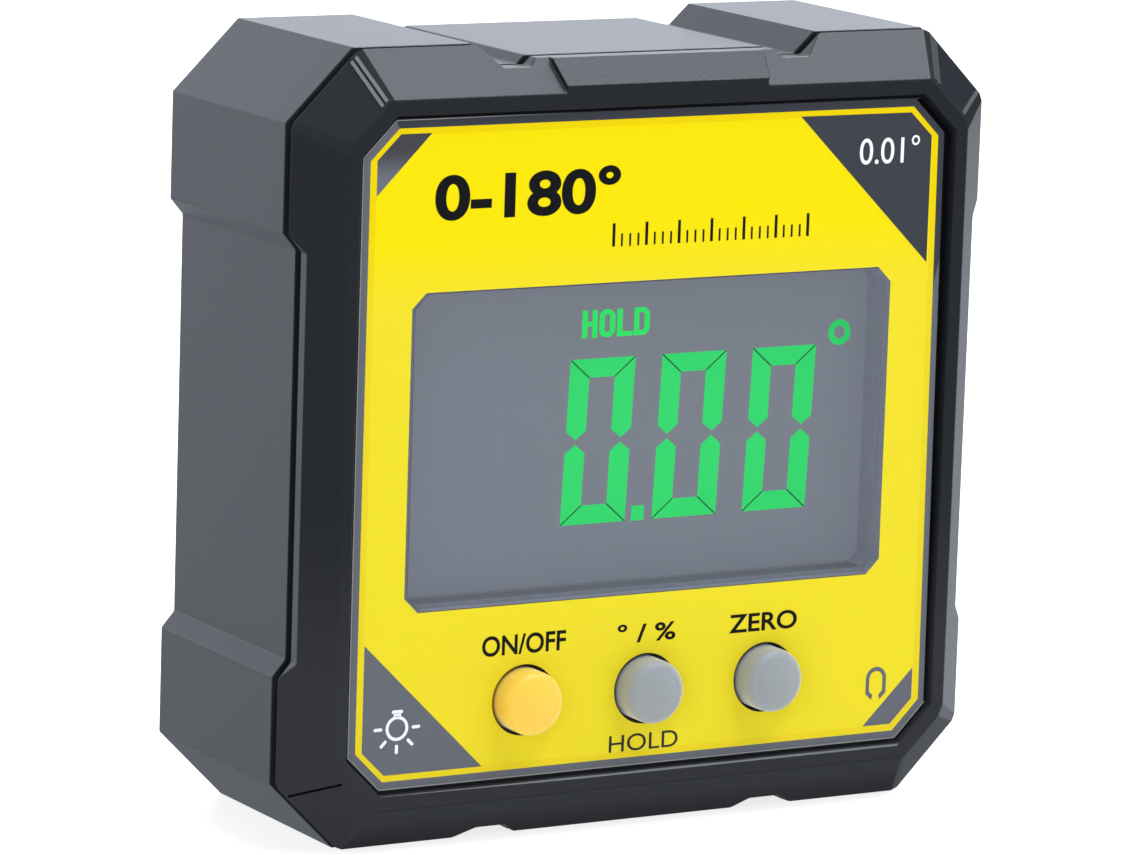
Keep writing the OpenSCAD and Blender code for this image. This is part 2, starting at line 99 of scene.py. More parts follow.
def satin(name, colour, bloom):
    """Soft milky rubber that brightens towards its rims."""
    material = surface(name, colour, 0.42)
    shader = shader_of(material)
    shader.inputs["Sheen Weight"].default_value = bloom
    shader.inputs["Sheen Roughness"].default_value = 0.35
    shader.inputs["Subsurface Weight"].default_value = 0.7
    shader.inputs["Subsurface Radius"].default_value = (1.0, 1.0, 1.0)
    shader.inputs["Subsurface Scale"].default_value = 0.9 * MM
    return material


def graded(name, low, high, heights, roughness, specular=0.5):
    """Colour that changes from one to another between two heights in millimetres."""
    material = surface(name, high, roughness, specular=specular)
    tree = material.node_tree
    coords = tree.nodes.new("ShaderNodeTexCoord")
    split = tree.nodes.new("ShaderNodeSeparateXYZ")
    climb = tree.nodes.new("ShaderNodeMapRange")
    climb.interpolation_type = "SMOOTHSTEP"
    climb.inputs["From Min"].default_value = heights[0] * MM
    climb.inputs["From Max"].default_value = heights[1] * MM
    blend = tree.nodes.new("ShaderNodeMix")
    blend.data_type = "RGBA"
    blend.inputs["A"].default_value = low
    blend.inputs["B"].default_value = high
    tree.links.new(coords.outputs["Object"], split.inputs["Vector"])
    tree.links.new(split.outputs["Z"], climb.inputs["Value"])
    tree.links.new(climb.outputs["Result"], blend.inputs["Factor"])
    tree.links.new(blend.outputs["Result"], shader_of(material).inputs["Base Color"])
    return material


def clear(name, tint, rim, roughness):
    """Clear window: what lies behind shows through, and its face mirrors by angle."""
    material = bpy.data.materials.new(name)
    material.use_nodes = True
    tree = material.node_tree
    tree.nodes.clear()
    output = tree.nodes.new("ShaderNodeOutputMaterial")
    mix = tree.nodes.new("ShaderNodeMixShader")
    see = tree.nodes.new("ShaderNodeBsdfTransparent")
    mirror = tree.nodes.new("ShaderNodeBsdfGlossy")
    facing = tree.nodes.new("ShaderNodeLayerWeight")
    see.inputs["Color"].default_value = tint
    mirror.inputs["Roughness"].default_value = roughness
    facing.inputs["Blend"].default_value = rim
    tree.links.new(facing.outputs["Facing"], mix.inputs["Fac"])
    tree.links.new(see.outputs["BSDF"], mix.inputs[1])
    tree.links.new(mirror.outputs["BSDF"], mix.inputs[2])
    tree.links.new(mix.outputs["Shader"], output.inputs["Surface"])
    return material


CASE_COLOUR = (0.0165, 0.0188, 0.0232, 1)
CASE_ROUGH = 0.36
CASE_GRAIN = (0.16, 0.004)
BLOCK_GRAIN = (0.22, 0.03)
BEZEL_LIGHT_HEIGHTS = (11.0, 28.0)
FOOT_SHADE_HEIGHTS = (0.0, 2.9)
LABEL_SHEEN_HEIGHTS = (39.5, 47.0)
LABEL_ROUGH = 0.36
LABEL_GLOSS = 0.06
SHADE_FADE_HEIGHTS = (50.4, 53.0)
COLLAR_GLOW = 0.42
DISPLAY_GLOW = 2.0
SEGMENT_GLOW = 0.34

case_plastic = add_grain(surface("case_plastic", CASE_COLOUR, CASE_ROUGH), *CASE_GRAIN)
block_plastic = add_grain(surface("block_plastic", CASE_COLOUR, 0.4), *BLOCK_GRAIN)
# Lighter, glossier copy of the case plastic for the fine ridges: painted highlight on real ridges.
crease_highlight_plastic = surface("crease_highlight_plastic", (0.03, 0.033, 0.038, 1), 0.33)
# Darker, duller copy of the case plastic for the crease strips: painted shade.
crease_painted_shade = surface("crease_painted_shade", (0.014, 0.016, 0.019, 1), 0.6, specular=0.16)
# Light grey for one ridge at the upper right corner: painted highlight.
crease_painted_highlight = surface("crease_painted_highlight", (0.11, 0.115, 0.125, 1), 0.33)
# Lighter copy of the case plastic for the side slopes: painted light.
slope_painted_light = add_grain(surface("slope_painted_light", (0.065, 0.069, 0.078, 1), CASE_ROUGH), *CASE_GRAIN)
# Case plastic that turns lighter towards the bottom of the front: painted light.
bezel_plastic_painted_light = graded("bezel_plastic_painted_light", (0.03, 0.032, 0.036, 1), CASE_COLOUR, BEZEL_LIGHT_HEIGHTS, CASE_ROUGH)
# Case plastic that turns darker towards the floor: painted shade.
foot_plastic_painted_shade = graded("foot_plastic_painted_shade", (0.004, 0.0045, 0.006, 1), (0.0175, 0.0195, 0.0235, 1), FOOT_SHADE_HEIGHTS,
                      CASE_ROUGH)
corner_plastic = surface("corner_plastic", CASE_COLOUR, CASE_ROUGH, specular=0.25)
for grained in (bezel_plastic_painted_light, foot_plastic_painted_shade, corner_plastic):
    add_grain(grained, *CASE_GRAIN)
# Light grey for the line under the label's lower edge: painted highlight.
lip_painted_highlight = surface("lip_painted_highlight", linear(118, 121, 126), 0.35)
seal_rubber = surface("seal_rubber", (0.002, 0.002, 0.0022, 1), 0.8, specular=0.1)
label_grey = surface("label_grey", linear(100, 103, 111), 0.4)
# Light grey for the thin line round the label's edge: painted highlight.
label_edge_highlight = surface("label_edge_highlight", linear(150, 150, 150), 0.35)
# Yellow and amber print that turn paler towards the bottom: painted sheen, a veil of reflected light.
label_yellow_painted_sheen = graded("label_yellow_painted_sheen", (0.785, 0.65, 0.0225, 1), (0.83, 0.675, 0.0004, 1), LABEL_SHEEN_HEIGHTS,
                      LABEL_ROUGH, LABEL_GLOSS)
label_amber_painted_sheen = graded("label_amber_painted_sheen", (0.76, 0.605, 0.018, 1), (0.79, 0.595, 0.0004, 1), LABEL_SHEEN_HEIGHTS,
                     LABEL_ROUGH, LABEL_GLOSS)
# Grey print that turns darker towards the top: painted shade.
label_painted_shade_fade = graded("label_painted_shade_fade", linear(104, 108, 118), linear(67, 67, 71), SHADE_FADE_HEIGHTS, 0.4)
# Darker copy of the label's grey: painted shade.
label_painted_shade = surface("label_painted_shade", linear(59, 62, 70), 0.4)
label_ink = surface("label_ink", linear(44, 46, 50), 0.45)
label_black = surface("label_black", (0.006, 0.006, 0.007, 1), 0.45)
label_white = surface("label_white", (0.86, 0.87, 0.88, 1), 0.45)
# Grey that glows although it is no lamp, lifting the shade in the display's recess: painted light.
frame_painted_glow = glowing("frame_painted_glow", linear(112, 116, 127), COLLAR_GLOW)
collar_shade = glowing("collar_shade", linear(90, 94, 99), COLLAR_GLOW)
# The display's grey glows as if backlit and so evens out the shade inside its recess: painted light.
display_grey = glowing("display_grey", linear(75, 79, 86), DISPLAY_GLOW)
# Darker display grey for the strip along the bottom of the opening: painted shade.
display_painted_shade = glowing("display_painted_shade", linear(69, 73, 79), DISPLAY_GLOW)
lit_green = glowing("lit_green", linear(33, 202, 98), SEGMENT_GLOW)
lit_word = glowing("lit_word", linear(25, 219, 89), SEGMENT_GLOW)
joint_dark = surface("joint_dark", linear(38, 66, 58), 0.5)
lens_clear = clear("lens_clear", (0.99, 0.99, 0.99, 1), 0.08, 0.03)
diffuser_white = surface("diffuser_white", (0.8, 0.8, 0.8, 1), 0.4)
board_green = surface("board_green", (0.012, 0.09, 0.035, 1), 0.3)
chip_black = surface("chip_black", (0.012, 0.012, 0.013, 1), 0.5)
key_amber = satin("key_amber", linear(248, 206, 80), 0.6)
key_grey = satin("key_grey", linear(156, 161, 163), 1.0)
nickel = surface("nickel", (0.72, 0.71, 0.69, 1), 0.22, metallic=1.0)
zinc = surface("zinc", (0.5, 0.5, 0.52, 1), 0.34, metallic=1.0)
cell_sleeve = surface("cell_sleeve", (0.03, 0.05, 0.09, 1), 0.25)
cell_band = surface("cell_band", (0.42, 0.45, 0.48, 1), 0.28)

NODE_FINISH = {
    "rear_housing": case_plastic,
    "front_bezel": bezel_plastic_painted_light,
    "battery_door": case_plastic,
    "housing_gasket": seal_rubber,
    "face_label": label_grey,
    "display_lens": lens_clear,
    "lcd_frame": frame_painted_glow,
    "lcd_glass": display_grey,
    "lcd_backlight": diffuser_white,
    "lcd_connector": seal_rubber,
    "main_board": board_green,
    "microcontroller": chip_black,
    "tilt_sensor": chip_black,
    "power_switch": chip_black,
    "mode_switch": chip_black,
    "zero_switch": chip_black,
    "power_plunger": diffuser_white,
    "mode_plunger": diffuser_white,
    "zero_plunger": diffuser_white,
    "magnet_left": nickel,
    "magnet_right": nickel,
    "battery_upper": cell_sleeve,
    "battery_lower": cell_sleeve,
    "spring_upper": nickel,
    "spring_lower": nickel,
    "bridge_contact": nickel,
    "spring_terminal": nickel,
    "button_terminal": nickel,
    "case_screws": zinc,
    "board_screws": zinc,
}

WELD_GAP = 0.001
EDGE_STEPS = 2
EDGE_ANGLE = 6.5
FACET_ANGLE = 30
TURNED_ANGLE = 40
SOFT_EDGES = {"rear_housing": 0.12, "front_bezel": 0.12, "battery_door": 0.1, "face_label": 0.07}


def smooth(mesh):
    """Smooth shading on all facets."""
    mesh.polygons.foreach_set("use_smooth", [True] * len(mesh.polygons))


def weld_points(obj):
    """Joins points that lie on each other."""
    weld = obj.modifiers.new("weld", "WELD")
    weld.merge_threshold = WELD_GAP * MM


def split_edges(obj, angle):
    """Stops smooth shading at edges sharper than an angle in degrees."""
    split = obj.modifiers.new("split", "EDGE_SPLIT")
    split.split_angle = math.radians(angle)


def round_edges(obj, width):
    """Rounds hard edges by a width in millimetres."""
    edges = obj.modifiers.new("edges", "BEVEL")
    edges.width = width * MM
    edges.segments = EDGE_STEPS
    edges.limit_method = "ANGLE"
    edges.angle_limit = math.radians(EDGE_ANGLE)
    edges.use_clamp_overlap = False
    edges.harden_normals = True
    edges.miter_outer = "MITER_ARC"


for name, finish in NODE_FINISH.items():
    solid = nodes[name]
    solid.data.materials.clear()
    solid.data.materials.append(finish)
    normals = solid.data.attributes.get("custom_normal")
    if normals is not None:
        solid.data.attributes.remove(normals)
    smooth(solid.data)
    weld_points(solid)
    if name in SOFT_EDGES:
        round_edges(solid, SOFT_EDGES[name])
    else:
        split_edges(solid, FACET_ANGLE)

LEANS = 0.3
UPRIGHT = 0.5
STRAIGHT = 0.12
FOOT_TOP = 4.0
CREASE_FACING = (0.6, 0.9)
CREASE_SPREAD = 12
TOP_CREASE = 67.5
LOW_CREASE = -22.5
SIDE_CREASE = 22.5
BLOCK_FACING = (0.5, 0.9)
BLOCK_HALF = 9.4
BLOCK_LOW = 57.0
SLOPE_OUT = 27.0
SLOPE_LOW = 30.0


def refinish(node, material, chosen):
    """Gives the chosen facets of a solid another finish."""
    mesh = nodes[node].data
    mesh.materials.append(material)
    for facet in mesh.polygons:
        if chosen(facet.center / MM, facet.normal):
            facet.material_index = len(mesh.materials) - 1


def is_crease(normal, heading):
    """True on a narrow strip between two bevels of the front, by the way that it faces in degrees."""
    turn = math.degrees(math.atan2(normal.z, abs(normal.x)))
    return CREASE_FACING[0] < -normal.y < CREASE_FACING[1] and abs(turn - heading) < CREASE_SPREAD


def is_foot(centre, normal):
    """True on the bevel along the base."""
    return centre.z < FOOT_TOP and normal.z < -LEANS and abs(normal.x) < STRAIGHT and normal.y < -LEANS


def is_low_corner(centre, normal):
    """True on the front facet of the lower right corner."""
    return normal.x > LEANS and normal.z < -LEANS and normal.y < -LEANS


def is_slope(centre, normal):
    """True on the slopes that lead from the upper side pads into the side recesses."""
    return (abs(centre.x) > SLOPE_OUT and centre.z > SLOPE_LOW
            and normal.z < -LEANS and abs(normal.x) > LEANS)


def is_block(centre, normal):
    """True on the bevel of the proud block at the top."""
    return (abs(centre.x) < BLOCK_HALF and centre.z > BLOCK_LOW
            and BLOCK_FACING[0] < -normal.y < BLOCK_FACING[1])


# The lens's side faces take the glowing frame grey: painted light.
refinish("display_lens", frame_painted_glow, lambda centre, normal: abs(normal.y) < UPRIGHT)
# The bevel along the base takes the darkening plastic: painted shade.
refinish("front_bezel", foot_plastic_painted_shade, is_foot)
refinish("front_bezel", corner_plastic, is_low_corner)
# The top creases and the right side crease take the darker finish: painted shade.
refinish("front_bezel", crease_painted_shade, lambda centre, normal: is_crease(normal, TOP_CREASE))
refinish("front_bezel", crease_painted_shade, lambda centre, normal: centre.x > 0 and is_crease(normal, SIDE_CREASE))
refinish("front_bezel", block_plastic, is_block)
# The slopes into the side recesses take the lighter plastic: painted light.
refinish("rear_housing", slope_painted_light, is_slope)


def link(obj):
    """Puts an object into the scene."""
    bpy.context.scene.collection.objects.link(obj)
    return obj


def add_mesh(name, verts, faces, material):
    """New piece from points in metres and the faces between them."""
    mesh = bpy.data.meshes.new(name)
    mesh.from_pydata(verts, [], faces)
    mesh.materials.append(material)
    return link(bpy.data.objects.new(name, mesh))


RIDGE_RISE = 0.08
RIDGE_INSET = 0.06
RIDGE_PAIR = ((0.06, 0.35), (0.54, 0.83))
RIDGE_SINGLE = ((0.1, 0.42),)
SHADE_LINE = ((0.78, 0.95),)


def facet_ridges(name, way, heading, across, spans, material, pick=min):
    """Fine ridges on a corner facet, along the crease beside it, between distances from the crease."""
    mesh = nodes["front_bezel"].data
    strip = [mesh.vertices[i].co for facet in mesh.polygons for i in facet.vertices
             if facet.center.x * way > 0 and is_crease(facet.normal, heading)]
    middle = (min(p.y for p in strip) + max(p.y for p in strip)) / 2
    front = pick((p for p in strip if p.y < middle), key=lambda p: p.z)
    back = pick((p for p in strip if p.y >= middle), key=lambda p: p.z)
    across = Vector(across).normalized()
    out = (back - front).cross(across).normalized()
    if out.y > 0:
        out.negate()
    ends = (front.lerp(back, RIDGE_INSET), front.lerp(back, 1 - RIDGE_INSET))
    verts = []
    faces = []
    for near, far in spans:
        first = len(verts)
        for end in ends:
            foot = end + across * far * MM
            verts += [end + across * near * MM, foot + out * RIDGE_RISE * MM, foot]
        for a, b in ((0, 1), (1, 2), (2, 0)):
            faces.append((first + a, first + b, first + b + 3, first + a + 3))
        faces += [(first, first + 1, first + 2), (first + 3, first + 4, first + 5)]
    piece = add_mesh(name, verts, faces, material)
    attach(piece, "case")


# Ridges along the two top creases in the lighter plastic: painted highlight.
for side, way in (("left", -1), ("right", 1)):
    facet_ridges("ridges_" + side, way, TOP_CREASE, (way, 0, -1), RIDGE_PAIR, crease_highlight_plastic)
# Light ridge along the crease between the upper right facet and the right bevel: painted highlight.
facet_ridges("ridge_corner_highlight", 1, SIDE_CREASE, (-1, 0, 1), RIDGE_SINGLE, crease_painted_highlight, pick=max)
# Black sliver along the lower left crease: painted shade line.
facet_ridges("shade_line_left", -1, LOW_CREASE, (1, 0, -1), SHADE_LINE, seal_rubber)

PRINT_STEP = 0.012


def drawn_mesh(curve):
    """Mesh of a flat outline or of words."""
    obj = link(bpy.data.objects.new(curve.name, curve))
    bpy.context.view_layer.update()
    mesh = bpy.data.meshes.new_from_object(obj.evaluated_get(bpy.context.evaluated_depsgraph_get()))
    bpy.data.objects.remove(obj)
    return mesh


def stand_up(name, mesh, y, material):
    """Puts a flat mesh on a plane that faces the front, as a piece of the case."""
    mesh.transform(Matrix.Translation((0, y, 0)) @ Matrix.Rotation(math.pi / 2, 4, "X"))
    mesh.materials.clear()
    mesh.materials.append(material)
    piece = link(bpy.data.objects.new(name, mesh))
    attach(piece, "case")


def printed(name, loops, y, material, thick=PRINT_STEP):
    """Flat shape from outlines of (x, z) in millimetres; an outline inside another is a hole."""
    curve = bpy.data.curves.new(name + "_line", "CURVE")
    curve.dimensions = "2D"
    curve.fill_mode = "FRONT"
    curve.extrude = thick * MM / 2
    for loop in loops:
        line = curve.splines.new("POLY")
        line.points.add(len(loop) - 1)
        for point, (x, z) in zip(line.points, loop):
            point.co = (x * MM, z * MM, 0, 1)
        line.use_cyclic_u = True
    stand_up(name, drawn_mesh(curve), y + thick * MM / 2, material)


def lettered(name, words, box, y, material, bold=0.0):
    """Words on the label, fitted into a box (x0, x1, z0, z1) in millimetres."""
    text = bpy.data.curves.new(name + "_text", "FONT")
    text.body = words
    text.offset = bold
    text.fill_mode = "FRONT"
    mesh = drawn_mesh(text)
    xs = [v.co.x for v in mesh.vertices]
    ys = [v.co.y for v in mesh.vertices]
    x0, x1, z0, z1 = [value * MM for value in box]
    wide = (x1 - x0) / (max(xs) - min(xs))
    high = (z1 - z0) / (max(ys) - min(ys))
    shift = Matrix.Translation((x0 - min(xs) * wide, z0 - min(ys) * high, 0))
    mesh.transform(shift @ Matrix.Diagonal((wide, high, 1, 1)))
    stand_up(name, mesh, y, material)


def cut_rect(half, z0, z1, cut):
    """Rectangle about the middle with cut corners, as (x, z) in millimetres."""
    right = [(half - cut, z0), (half, z0 + cut), (half, z1 - cut), (half - cut, z1)]
    return right + [(-x, z) for x, z in reversed(right)]


def arc(x, z, radius, first, sweep, steps):
    """Points on part of a circle between two angles in degrees."""
    turns = [math.radians(first + sweep * i / steps) for i in range(steps + 1)]
    return [(x + radius * math.cos(t), z + radius * math.sin(t)) for t in turns]


def circle(x, z, radius, count=64):
    """Points round a centre, in millimetres."""
    return arc(x, z, radius, 0, 360, count)[:-1]


def bar(a, b, width):
    """Straight stroke between two points."""
    start, end = Vector(a), Vector(b)
    along = (end - start).normalized()
    side = Vector((-along.y, along.x)) * width / 2
    return [tuple(p) for p in (start - side, end - side, end + side, start + side)]


PILL_STEPS = 12


def pill(a, b, width):
    """Straight stroke with round ends between two points."""
    heading = math.degrees(math.atan2(b[1] - a[1], b[0] - a[0]))
    return (arc(b[0], b[1], width / 2, heading - 90, 180, PILL_STEPS)
            + arc(a[0], a[1], width / 2, heading + 90, 180, PILL_STEPS))


label_low, label_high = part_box("face_label")
label_half = label_high.x / MM
label_z0 = label_low.z / MM
label_z1 = label_high.z / MM
LABEL_CUT = 2.7
LABEL_LEAN = 0.4
BORDER_OUT = 0.65
BORDER_IN = 1.17
RIM_OUT = 0.02
RIM_IN = 0.1
WINDOW_SHIFT = -0.205
WINDOW_SIZE = (20.785, 18.2, 42.16, 1.15)
WINDOW = [(x + WINDOW_SHIFT, z) for x, z in cut_rect(*WINDOW_SIZE)]
KEY_X = (-10.55, 0.0, 10.55)
KEY_Z = 10.85
KEY_HOLE = 2.73


def leaned(outline):
    """An outline on the label whose right side leans in towards the top."""
    rise = label_z1 - label_z0
    return [(x - LABEL_LEAN * (z - label_z0) / rise if x > 0 else x, z) for x, z in outline]


def inset_cut(by):
    """Corner cut of the label's outline when that is moved inwards."""
    return LABEL_CUT - by * (2 - math.sqrt(2))


def label_inset(by):
    """The label's outline moved inwards."""
    return leaned(cut_rect(label_half - by, label_z0 + by, label_z1 - by, inset_cut(by)))


def layer(index):
    """Depth of a printed layer on the label's face."""
    return label_low.y - index * PRINT_STEP * MM


FIELD = layer(1)
INK = layer(2)
OVERPRINT = layer(3)

holes = [WINDOW] + [circle(x, KEY_Z, KEY_HOLE) for x in KEY_X]
# The yellow field and the amber line carry the painted sheen that pales them lower down.
printed("label_field", [label_inset(BORDER_IN)] + holes, FIELD, label_yellow_painted_sheen)
printed("label_line", [label_inset(BORDER_OUT), label_inset(BORDER_IN)], FIELD, label_amber_painted_sheen)
# Thin light outline at the label's edge: painted highlight.
printed("label_rim_highlight", [label_inset(RIM_OUT), label_inset(RIM_IN)], FIELD, label_edge_highlight)

# Darker band over the top and right of the label's border: painted shade.
BAND_START = 4.0
BAND_FULL = 16.0
BAND_FOOT_OUT = 43.0
BAND_FOOT_IN = 40.5
line_x = label_half - BORDER_OUT
line_z = label_z1 - BORDER_OUT
line_cut = inset_cut(BORDER_OUT)
rim_x = label_half - RIM_OUT
rim_z = label_z1 - RIM_OUT
band = [
    (-label_half + RIM_IN + inset_cut(RIM_IN), label_z1 - RIM_IN),
    (-label_half + LABEL_CUT + BAND_START, label_z1 - RIM_IN),
    (-label_half + LABEL_CUT + BAND_FULL, rim_z),
    (label_half - LABEL_CUT, rim_z),
    (rim_x, label_z1 - LABEL_CUT),
    (rim_x, BAND_FOOT_OUT),
    (line_x, BAND_FOOT_IN),
    (line_x, line_z - line_cut),
    (line_x - line_cut, line_z),
    (-line_x + line_cut, line_z),
]
printed("label_band_shade", [leaned(band)], INK, label_painted_shade)

SHADOW_INSET = 0.005
SHADOW_LAP = 0.02
outer_edge = cut_rect(label_half - SHADOW_INSET, label_z0 + SHADOW_INSET, label_z1 - SHADOW_INSET, LABEL_CUT)
inner_edge = label_inset(RIM_IN + SHADOW_LAP)
printed("label_shadow", [outer_edge[1:4] + inner_edge[3:0:-1]], OVERPRINT, seal_rubber)

# Grey print fields in the corners. The two top ones are printed darker: painted shade.
CORNER_FIELDS = (
    ("top_right", label_painted_shade, ((11.94, 53.99), (23.77, 42.32), (23.77, 52.1), (21.85, 53.95))),
    ("top_left", label_painted_shade_fade, ((-22.3, 53.97), (-24.2, 52.1), (-24.2, 49.47), (-19.74, 53.97))),
    ("low_left", label_grey, ((-24.2, 16.06), (-24.2, 7.94), (-22.3, 6.08), (-14.02, 6.06))),
    ("low_right", label_grey, ((24.1, 10.47), (19.71, 6.15), (22.2, 6.15), (24.1, 8.05))),
)
for corner, finish, outline in CORNER_FIELDS:
    printed("label_corner_" + corner, [outline], INK, finish)

TICK_COUNT = 25
TICK_GROUP = 4
TICK_X = -4.1
TICK_Z = 44.85
TICK_PITCH = 17.0 / 24
TICK_LONG = (1.75, 0.24)
TICK_SHORT = (0.95, 0.16)
ticks = []
for i in range(TICK_COUNT):
    x = TICK_X + i * TICK_PITCH
    tall, width = TICK_SHORT if i % TICK_GROUP else TICK_LONG
    ticks.append(bar((x, TICK_Z), (x, TICK_Z + tall), width))

lettered("label_range", "0-180°", (-19.34, -3.65, 47.42, 50.98), INK, label_black, bold=0.03)
printed("label_scale", ticks, INK, label_black)
lettered("label_step", "0.01°", (17.3, 22.7, 50.1, 52.2), OVERPRINT, label_white, bold=0.004)
lettered("legend_power", "ON/OFF", (-14.27, -7.08, 14.39, 15.95), INK, label_black, bold=0.018)
lettered("legend_unit", "° / %", (-2.6, 2.5, 14.46, 15.94), INK, label_black, bold=0.018)
lettered("legend_hold", "HOLD", (-3.02, 3.03, 6.08, 7.4), INK, label_ink)
lettered("legend_zero", "ZERO", (7.26, 13.32, 14.48, 15.94), INK, label_black, bold=0.018)

LAMP_X = -21.3
LAMP_Z = 9.6
BULB_SIDES = 48
BULB_OUT = 0.95
BULB_IN = 0.71
NECK_Z = (0.9, 1.16)
NECK_W = 0.62
CAP_HALF = 0.34
CAP_Z = 1.26
CAP_W = 0.26
RAY_REACH = (1.36, 1.83)
RAY_W = 0.25
RAY_TURNS = (-180, -135, -90, -45, 0)
lamp = [circle(LAMP_X, LAMP_Z, radius, BULB_SIDES) for radius in (BULB_OUT, BULB_IN)]
lamp.append(pill((LAMP_X - CAP_HALF, LAMP_Z + CAP_Z), (LAMP_X + CAP_HALF, LAMP_Z + CAP_Z), CAP_W))
lamp.append(bar((LAMP_X, LAMP_Z + NECK_Z[0]), (LAMP_X, LAMP_Z + NECK_Z[1]), NECK_W))
for turn in RAY_TURNS:
    way = Vector((math.cos(math.radians(turn)), math.sin(math.radians(turn))))
    start, end = [Vector((LAMP_X, LAMP_Z)) + way * reach for reach in RAY_REACH]
    lamp.append(pill(start, end, RAY_W))
printed("icon_lamp", lamp, OVERPRINT, label_white)

MAGNET_X = 20.77
MAGNET_Z = 9.86
MAGNET_OUT = 0.92
MAGNET_IN = 0.6
MAGNET_STEPS = 24
MAGNET_TIP = ((MAGNET_OUT, 8.7), (0.4, 8.2), (0.26, 8.56), (MAGNET_IN, 8.88))
magnet = arc(MAGNET_X, MAGNET_Z, MAGNET_OUT, 0, 180, MAGNET_STEPS)
magnet += [(MAGNET_X - x, z) for x, z in MAGNET_TIP]
magnet += arc(MAGNET_X, MAGNET_Z, MAGNET_IN, 180, -180, MAGNET_STEPS)
magnet += [(MAGNET_X + x, z) for x, z in reversed(MAGNET_TIP)]
printed("icon_magnet", [magnet], INK, label_grey)

# Thin light strip on the bezel just under the label: painted highlight on the lip's edge.
LIP_DROP = 0.35
LIP_HIGH = 0.14
LIP_FULL_X = -6.0
LIP_RISE = 0.008
lip_z = label_z0 - LIP_DROP
lip_half = label_half - LABEL_CUT
lip = [(-lip_half, lip_z), (LIP_FULL_X, lip_z - LIP_HIGH), (lip_half, lip_z - LIP_HIGH), (lip_half, lip_z)]
bezel_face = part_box("front_bezel")[0].y
printed("lip_highlight", [lip], bezel_face - LIP_RISE * MM, lip_painted_highlight)

DIGIT_LEFT = (-6.26, 1.75, 9.77)
DIGIT_W = 5.65
DIGIT_Z0 = 23.25
DIGIT_HIGH = 12.65
DIGIT_LEAN = 0.5
STROKE_X = 1.72
STROKE_Z = 1.45
SEGMENT_GAP = 0.07
SEGMENT_TIP = 0.85
TIP_GAP = 0.16
JOINT_INSET = 0.03
JOINT_W = 0.1
POINT = ((-0.08, 23.22), (1.05, 23.22), (1.08, 24.37), (-0.03, 24.37))
DEGREE_X = 17.99
DEGREE_Z = 36.72
DEGREE_OUT = 1.0
DEGREE_IN = 0.5
GLOW_THICK = 0.02


def on_digit(left, x, z):
    """Place on the display of a point on a leaning digit."""
    return (left + x + DIGIT_LEAN * z / DIGIT_HIGH, DIGIT_Z0 + z)


def zero_digit(left):
    """The six lit segments of a nought, as outlines in millimetres."""
    middle = DIGIT_HIGH / 2
    under = DIGIT_HIGH - STROKE_Z
    top = [(SEGMENT_GAP, DIGIT_HIGH), (STROKE_X + SEGMENT_GAP, under),
           (DIGIT_W - STROKE_X - SEGMENT_GAP, under), (DIGIT_W - SEGMENT_GAP, DIGIT_HIGH)]
    side = [(0, DIGIT_HIGH - SEGMENT_GAP), (0, middle + SEGMENT_TIP), (STROKE_X / 2, middle + TIP_GAP),
            (STROKE_X, middle + SEGMENT_TIP), (STROKE_X, under - SEGMENT_GAP)]
    upper = [top, side, [(DIGIT_W - x, z) for x, z in side]]
    lower = [[(x, DIGIT_HIGH - z) for x, z in shape] for shape in upper]
    return [[on_digit(left, x, z) for x, z in shape] for shape in upper + lower]


def digit_joints(left):
    """The four dark lines between the segments of a nought."""
    lines = []
    for x0, x1 in ((JOINT_INSET, STROKE_X), (DIGIT_W - JOINT_INSET, DIGIT_W - STROKE_X)):
        for z0, z1 in ((JOINT_INSET, STROKE_Z), (DIGIT_HIGH - JOINT_INSET, DIGIT_HIGH - STROKE_Z)):
            lines.append(bar(on_digit(left, x0, z0), on_digit(left, x1, z1), JOINT_W))
    return lines


display_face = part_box("lcd_glass")[0].y
glow_plane = display_face - GLOW_THICK * MM
for number, left in enumerate(DIGIT_LEFT, 1):
    printed(f"digit_{number}", zero_digit(left), glow_plane, lit_green, GLOW_THICK)
    printed(f"joints_{number}", digit_joints(left), glow_plane + GLOW_THICK * MM / 2, joint_dark,
            GLOW_THICK / 2)
printed("digit_point", [POINT], glow_plane, lit_green, GLOW_THICK)
degree = [circle(DEGREE_X, DEGREE_Z, radius) for radius in (DEGREE_OUT, DEGREE_IN)]
printed("digit_degree", degree, glow_plane, lit_green, GLOW_THICK)

HOLD_Z0 = 37.48
HOLD_Z1 = 39.6
HOLD_STEM = 0.45
HOLD_BAR = 0.37
HOLD_ROUND = 0.6
HOLD_STEPS = 6
HOLD_X = ((-4.87, -3.55), (-3.38, -2.01), (-1.83, -0.45), (-0.36, 1.0))


def round_box(x0, x1, z0, z1, left, right):
    """Rectangle whose corners have one radius on its left and one on its right, as (x, z) in millimetres."""
    points = []
    for x, z, radius, first in ((x1 - right, z0 + right, right, -90), (x1 - right, z1 - right, right, 0),
                                (x0 + left, z1 - left, left, 90), (x0 + left, z0 + left, left, 180)):
        points += arc(x, z, radius, first, 90, HOLD_STEPS) if radius else [(x, z)]
    return points


